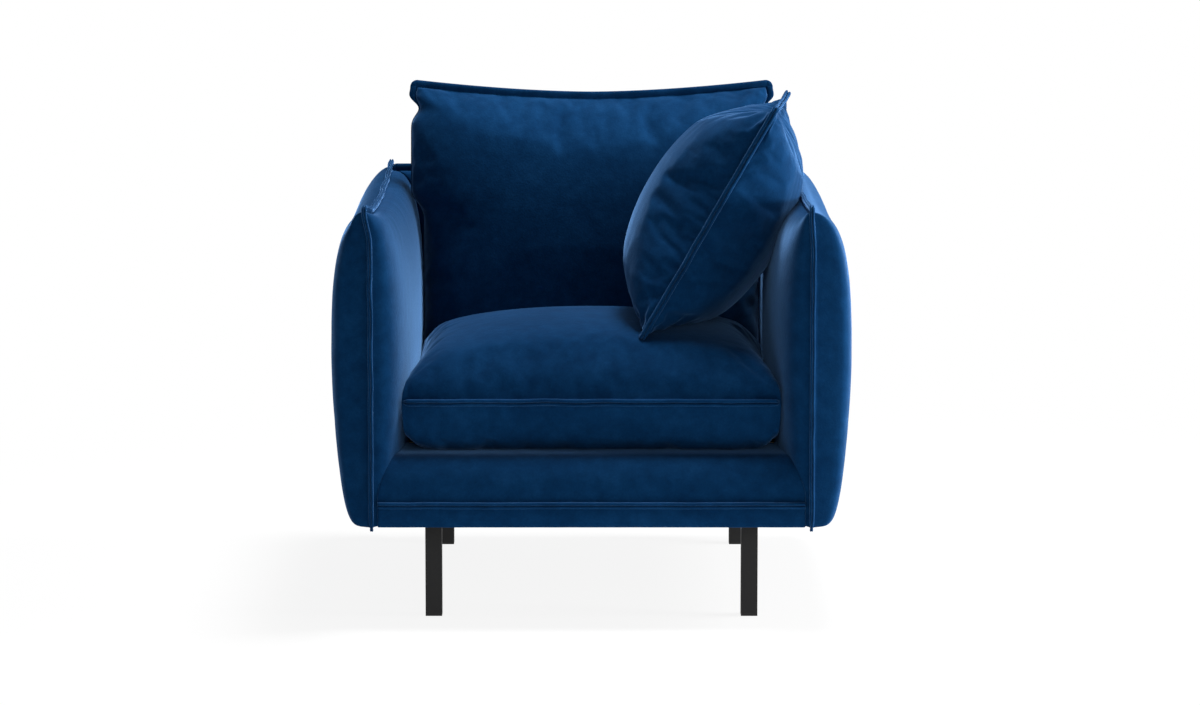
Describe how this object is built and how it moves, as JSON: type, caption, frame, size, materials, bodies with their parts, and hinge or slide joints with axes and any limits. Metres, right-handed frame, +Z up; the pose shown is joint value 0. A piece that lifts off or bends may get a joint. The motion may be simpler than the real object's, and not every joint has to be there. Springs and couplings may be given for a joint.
{
  "type": "upholstered armchair",
  "caption": "Upholstered armchair in blue velvet: slab arms with sewn flange edges, loose seat and back cushions, a leaning scatter cushion and slim black square legs.",
  "frame": {"origin": "on the floor under the middle of the chair", "axes": "+Z up, the front of the chair faces -Y, +X to the right as seen from the front"},
  "size_m": [0.8798, 0.88, 0.8696],
  "materials": {
    "velvet": "short pile velvet",
    "foam": "open cell foam",
    "filling": "fibre fill in a white inner bag",
    "leg_steel": "matt black powder coat",
    "glide_plastic": "matt",
    "zinc_steel": "bright zinc",
    "spring_steel": "drawn wire",
    "felt": "needle felt",
    "lining": "spunbond cloth",
    "webbing": "woven elastic",
    "fibreboard": "hardboard",
    "beech": "plain beech",
    "timber": "planed softwood"
  },
  "bodies": {
    "chair": {"arm_bottom_rail_left": "timber", "arm_bottom_rail_right": "timber", "arm_front_post_left": "timber", "arm_front_post_right": "timber", "arm_inner_panel_left": "fibreboard", "arm_inner_panel_right": "fibreboard", "arm_outer_panel_left": "fibreboard", "arm_outer_panel_right": "fibreboard", "arm_rear_post_left": "timber", "arm_rear_post_right": "timber", "arm_top_rail_left": "timber", "arm_top_rail_right": "timber", "arm_upholstery_left": "velvet", "arm_upholstery_right": "velvet", "back_bottom_rail": "timber", "back_panel": "fibreboard", "back_post_left": "timber", "back_post_right": "timber", "back_top_rail": "timber", "back_upholstery": "velvet", "back_webbing": "webbing", "base_stretcher": "timber", "corner_blocks": "timber", "deck_cloth": "lining", "deck_pad": "foam", "dust_cover": "lining", "frame_bolts": "zinc_steel", "frame_dowels": "beech", "front_border": "velvet", "front_leg_board": "timber", "front_rail": "timber", "insulator_felt": "felt", "leg_front_left": "leg_steel", "leg_front_right": "leg_steel", "leg_glides": "glide_plastic", "leg_rear_left": "leg_steel", "leg_rear_right": "leg_steel", "leg_screws": "zinc_steel", "rear_leg_board": "timber", "rear_rail": "timber", "side_rail_left": "timber", "side_rail_right": "timber", "sinuous_springs": "spring_steel", "spring_clips": "spring_steel", "tee_nuts": "zinc_steel"},
    "seat_cushion": {"seat_cushion_cover": "velvet", "seat_cushion_core": "foam"},
    "back_cushion": {"back_cushion_cover": "velvet", "back_cushion_core": "filling"},
    "scatter_cushion": {"scatter_cushion_cover": "velvet", "scatter_cushion_core": "filling"}
  },
  "joints": [
    {"name": "seat_cushion_lift", "type": "slide", "parent": "chair", "child": "seat_cushion", "axis": [0, 0, 1], "range_m": [0, 0.45]},
    {"name": "back_cushion_lift", "type": "slide", "parent": "chair", "child": "back_cushion", "axis": [0, 0.0958, 0.9954], "range_m": [0, 0.45]},
    {"name": "scatter_cushion_lift", "type": "slide", "parent": "seat_cushion", "child": "scatter_cushion", "axis": [0, 0, 1], "range_m": [0, 0.4]}
  ]
}
